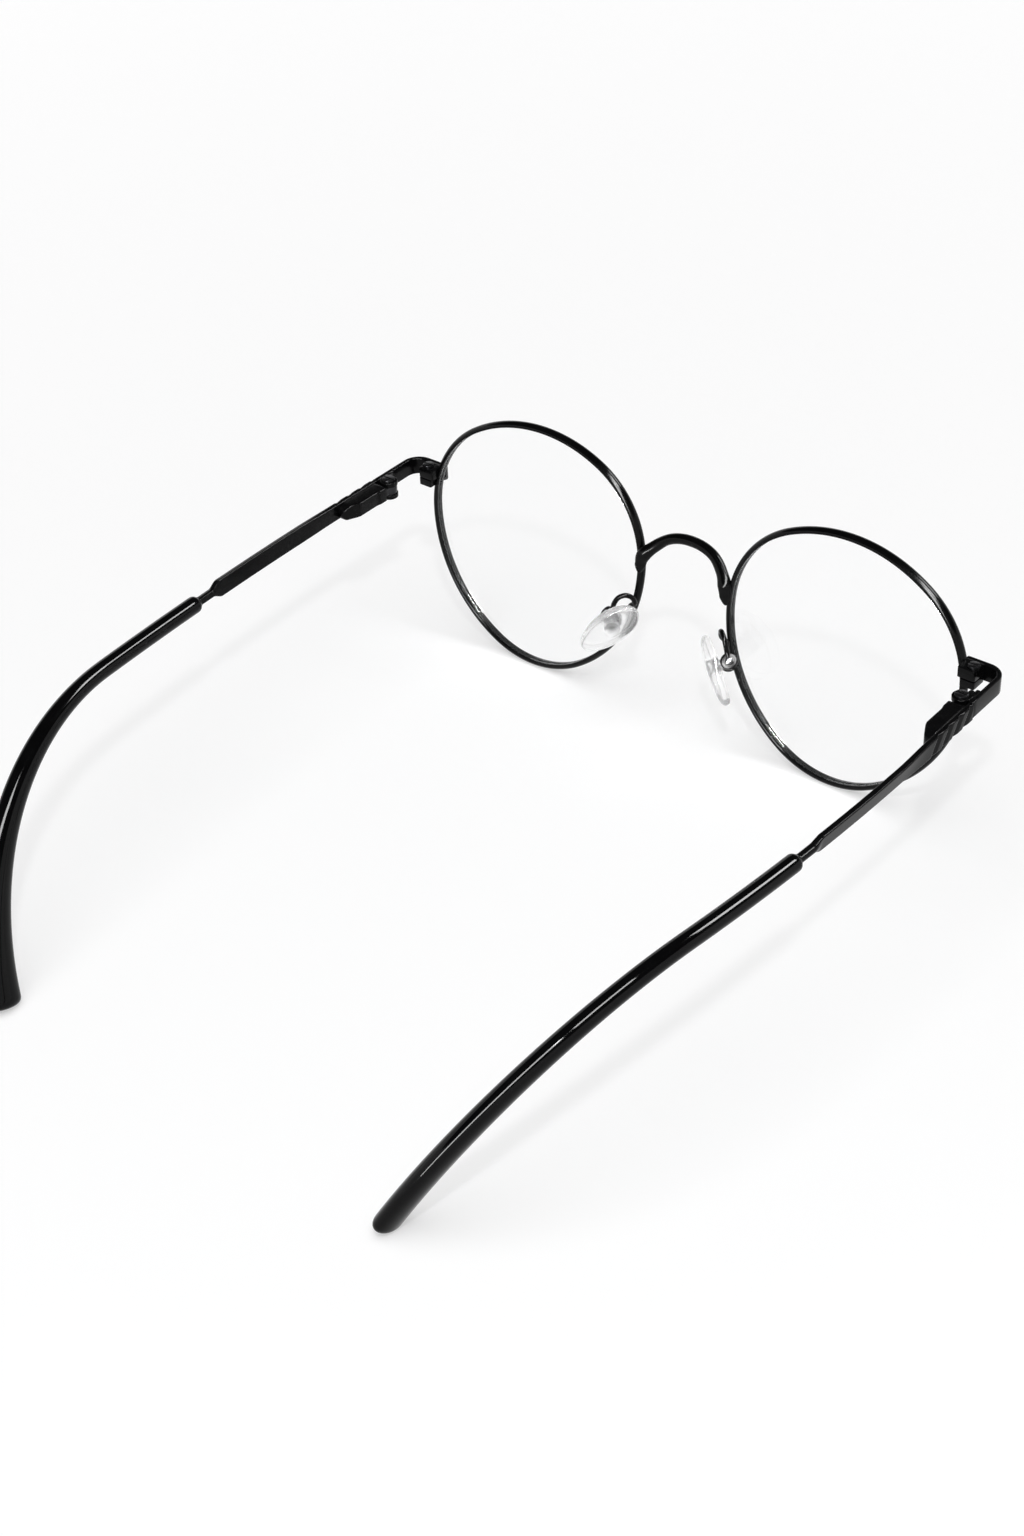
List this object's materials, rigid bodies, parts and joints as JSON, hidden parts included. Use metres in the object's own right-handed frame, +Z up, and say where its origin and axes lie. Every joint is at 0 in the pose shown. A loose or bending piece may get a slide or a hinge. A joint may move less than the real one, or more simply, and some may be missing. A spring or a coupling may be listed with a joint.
{
  "type": "eyeglasses",
  "caption": "Full-rim round eyeglasses in thin dark wire with clear lenses, adjustable nose pads, sprung folding temples and curved plastic ear tips.",
  "frame": {"origin": "bottom centre of the bounding box, on the surface that the rims and the tips stand on", "axes": "+Z up, +Y back along the open temples towards the ear tips, +X to the wearer's left; the front faces -Y"},
  "size_m": [0.1366, 0.1464, 0.0514],
  "materials": {
    "black_metal": "satin black plating on thin wire and strip, with soft highlights",
    "lens": "clear polished lens plastic with a thin coating",
    "screw_steel": "bright steel screws with turned heads",
    "spring_steel": "plain steel, drawn and ground",
    "bush_bronze": "plain turned bronze",
    "tip_plastic": "polished black acetate tube",
    "pad_insert": "pale moulded insert",
    "pad_silicone": "soft clear silicone, slightly cloudy"
  },
  "bodies": {
    "front": {"bridge": "black_metal", "rim_left": "black_metal", "rim_right": "black_metal", "lens_left": "lens", "lens_right": "lens", "rim_block_upper_left": "black_metal", "rim_block_upper_right": "black_metal", "rim_block_lower_left": "black_metal", "rim_block_lower_right": "black_metal", "rim_screw_left": "screw_steel", "rim_screw_right": "screw_steel", "end_piece_left": "black_metal", "end_piece_right": "black_metal", "hinge_fork_left": "black_metal", "hinge_fork_right": "black_metal", "hinge_screw_left": "screw_steel", "hinge_screw_right": "screw_steel", "pad_arm_left": "black_metal", "pad_arm_right": "black_metal", "pad_screw_left": "screw_steel", "pad_screw_right": "screw_steel"},
    "bush_left": {"hinge_bush_left": "bush_bronze"},
    "slider_left": {"hinge_slider_left": "spring_steel", "slider_nut_left": "spring_steel"},
    "temple_left": {"spring_housing_left": "black_metal", "flex_spring_left": "spring_steel", "temple_bar_left": "black_metal", "temple_tip_left": "tip_plastic"},
    "pad_left": {"nose_pad_left": "pad_silicone", "pad_insert_left": "pad_insert"},
    "bush_right": {"hinge_bush_right": "bush_bronze"},
    "slider_right": {"hinge_slider_right": "spring_steel", "slider_nut_right": "spring_steel"},
    "temple_right": {"spring_housing_right": "black_metal", "flex_spring_right": "spring_steel", "temple_bar_right": "black_metal", "temple_tip_right": "tip_plastic"},
    "pad_right": {"nose_pad_right": "pad_silicone", "pad_insert_right": "pad_insert"}
  },
  "joints": [
    {"name": "fold_left", "type": "hinge", "parent": "front", "child": "bush_left", "pos_m": [0.0652, -0.05984, 0.03377], "axis": [0, 0, 1], "range_deg": [0, 85]},
    {"name": "flex_left", "type": "hinge", "parent": "bush_left", "child": "slider_left", "pos_m": [0.0652, -0.05984, 0.03377], "axis": [0, 0, 1], "range_deg": [-10, 0], "stiffness_Nm_per_rad": 0.08},
    {"name": "slide_left", "type": "slide", "parent": "slider_left", "child": "temple_left", "axis": [0, 1, 0], "range_m": [0, 0.0005], "deforming": ["flex_spring_left"]},
    {"name": "pad_rock_left", "type": "hinge", "parent": "front", "child": "pad_left", "pos_m": [0.01376, -0.06433, 0.02004], "axis": [0.432, 0.5764, 0.6936], "range_deg": [-8, 8]},
    {"name": "fold_right", "type": "hinge", "parent": "front", "child": "bush_right", "pos_m": [-0.0652, -0.05984, 0.03377], "axis": [0, 0, -1], "range_deg": [0, 80]},
    {"name": "flex_right", "type": "hinge", "parent": "bush_right", "child": "slider_right", "pos_m": [-0.0652, -0.05984, 0.03377], "axis": [0, 0, -1], "range_deg": [-10, 0], "stiffness_Nm_per_rad": 0.08},
    {"name": "slide_right", "type": "slide", "parent": "slider_right", "child": "temple_right", "axis": [0, 1, 0], "range_m": [0, 0.0005], "deforming": ["flex_spring_right"]},
    {"name": "pad_rock_right", "type": "hinge", "parent": "front", "child": "pad_right", "pos_m": [-0.01376, -0.06433, 0.02004], "axis": [0.432, -0.5764, -0.6936], "range_deg": [-8, 8]}
  ],
  "couplings": [
    {"joint": "slide_left", "follows": "flex_left", "m_per_rad": -0.0026},
    {"joint": "slide_right", "follows": "flex_right", "m_per_rad": -0.0026}
  ]
}
